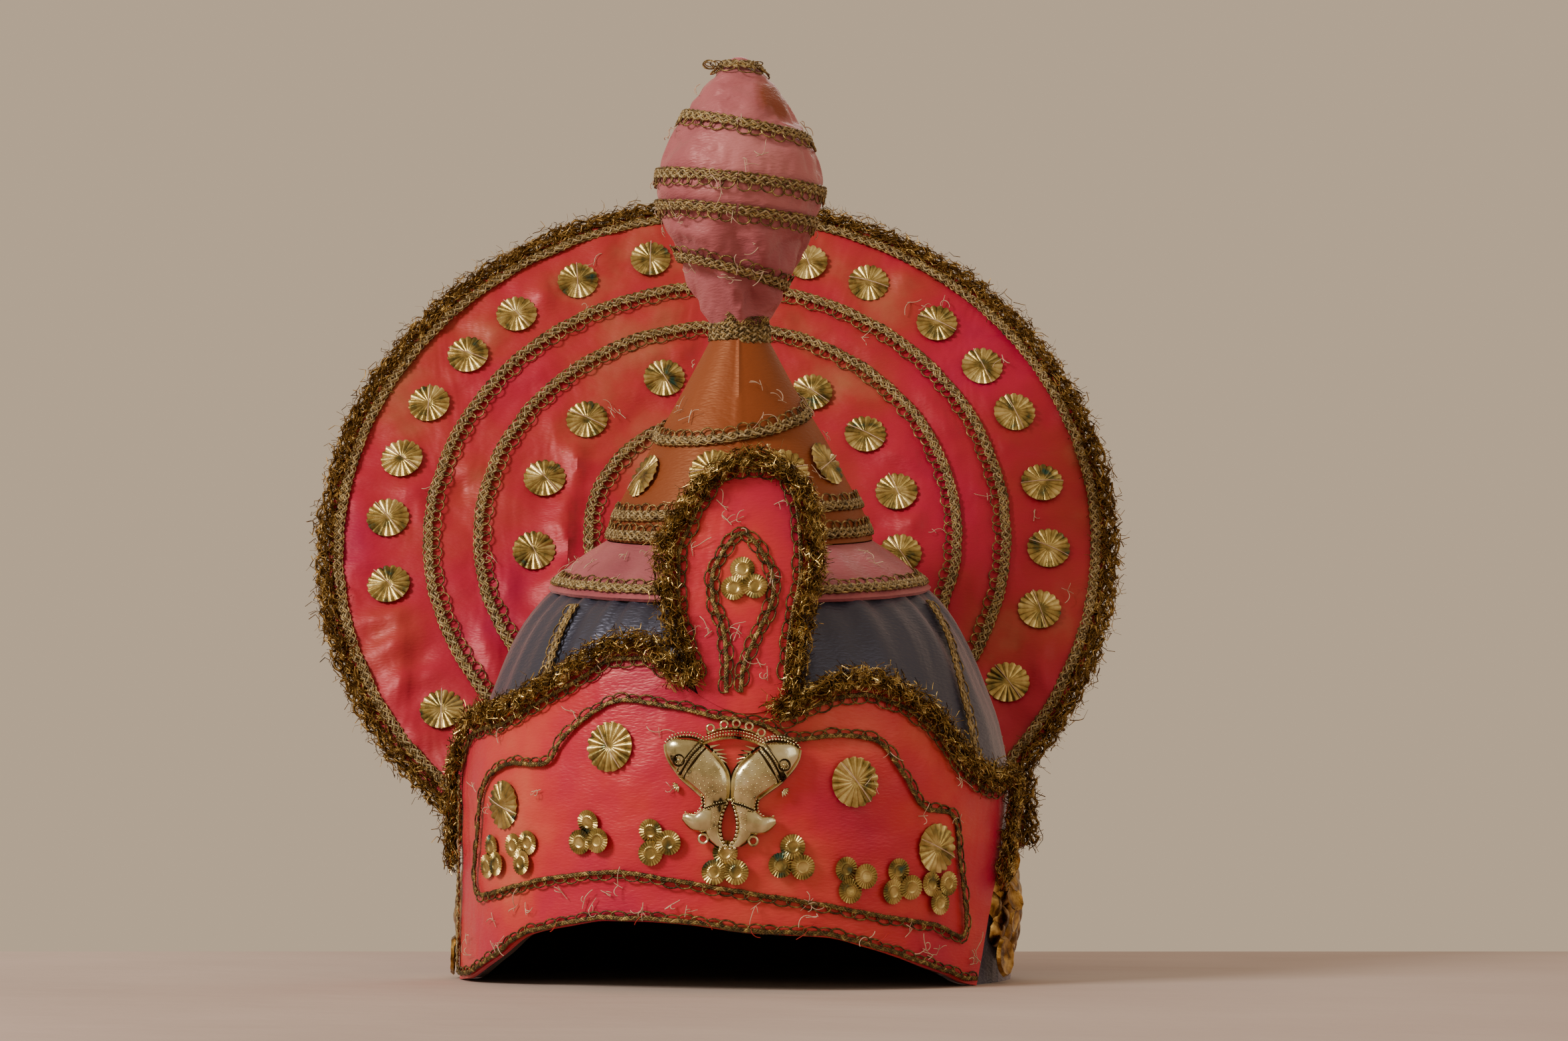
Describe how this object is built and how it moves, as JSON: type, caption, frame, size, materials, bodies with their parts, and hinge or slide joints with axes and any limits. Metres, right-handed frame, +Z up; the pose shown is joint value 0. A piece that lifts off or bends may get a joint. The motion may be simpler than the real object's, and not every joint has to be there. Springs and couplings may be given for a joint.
{
  "type": "theatre crown with round halo",
  "caption": "Cloth-covered stage crown: domed cap with arched frontlet and plaque, collar, cone and spindle finial before a round leaning halo with braid, discs and tinsel fringe.",
  "frame": {"origin": "middle of the crown's box at the height of the cap's rim, which rests on Z = 0", "axes": "+Z up through the finial, -Y the front with the plaque, +X the viewer's right"},
  "size_m": [0.3204, 0.2388, 0.3298],
  "materials": {
    "red_satin": "satin weave, crimson with coral highlights",
    "blue_grey_satin": "satin weave, blue-grey",
    "orange_satin": "satin weave, burnt orange",
    "pink_satin": "satin weave, dusty pink",
    "gold_braid": "gimp braid of cream and dull gold thread",
    "bronze_tinsel": "tarnished flat tinsel",
    "brass": "thin stamped foil, lightly tarnished",
    "pale_gold": "bright pale plating, worn through in spots",
    "copper_gold": "coppery stamped foil"
  },
  "bodies": {
    "root": {"halo_panel": "red_satin", "front_band": "red_satin", "front_plaque": "red_satin", "dome_cap": "blue_grey_satin", "orange_cone": "orange_satin", "pink_collar": "pink_satin", "finial_spindle": "pink_satin", "dome_stripe_left": "gold_braid", "dome_stripe_right": "gold_braid", "collar_braid": "gold_braid", "cone_hem_braid": "gold_braid", "cone_lower_braid": "gold_braid", "cone_upper_braid": "gold_braid", "neck_wrap": "gold_braid", "spindle_lower_braid": "gold_braid", "spindle_waist_lower": "gold_braid", "spindle_waist_upper": "gold_braid", "spindle_upper_braid": "gold_braid", "tip_braid": "gold_braid", "halo_outer_braid": "gold_braid", "halo_inner_braid": "gold_braid", "halo_core_braid": "gold_braid", "halo_rim_braid": "gold_braid", "band_frame_braid": "gold_braid", "band_hem_braid": "gold_braid", "teardrop_braid": "gold_braid", "halo_fringe": "bronze_tinsel", "band_fringe_left": "bronze_tinsel", "band_fringe_right": "bronze_tinsel", "plaque_fringe": "bronze_tinsel", "cone_disc_1": "brass", "cone_disc_2": "brass", "cone_disc_3": "brass", "cone_disc_4": "brass", "band_disc_1": "brass", "band_disc_2": "brass", "band_disc_3": "brass", "band_disc_4": "brass", "band_coins_1": "brass", "band_coins_2": "brass", "band_coins_3": "brass", "band_coins_4": "brass", "band_coins_5": "brass", "band_coins_6": "brass", "band_coins_7": "brass", "band_coins_8": "brass", "band_coins_9": "brass", "plaque_coins": "brass", "twin_fish": "pale_gold", "rosette_left": "copper_gold", "rosette_right": "copper_gold"}
  },
  "joints": []
}
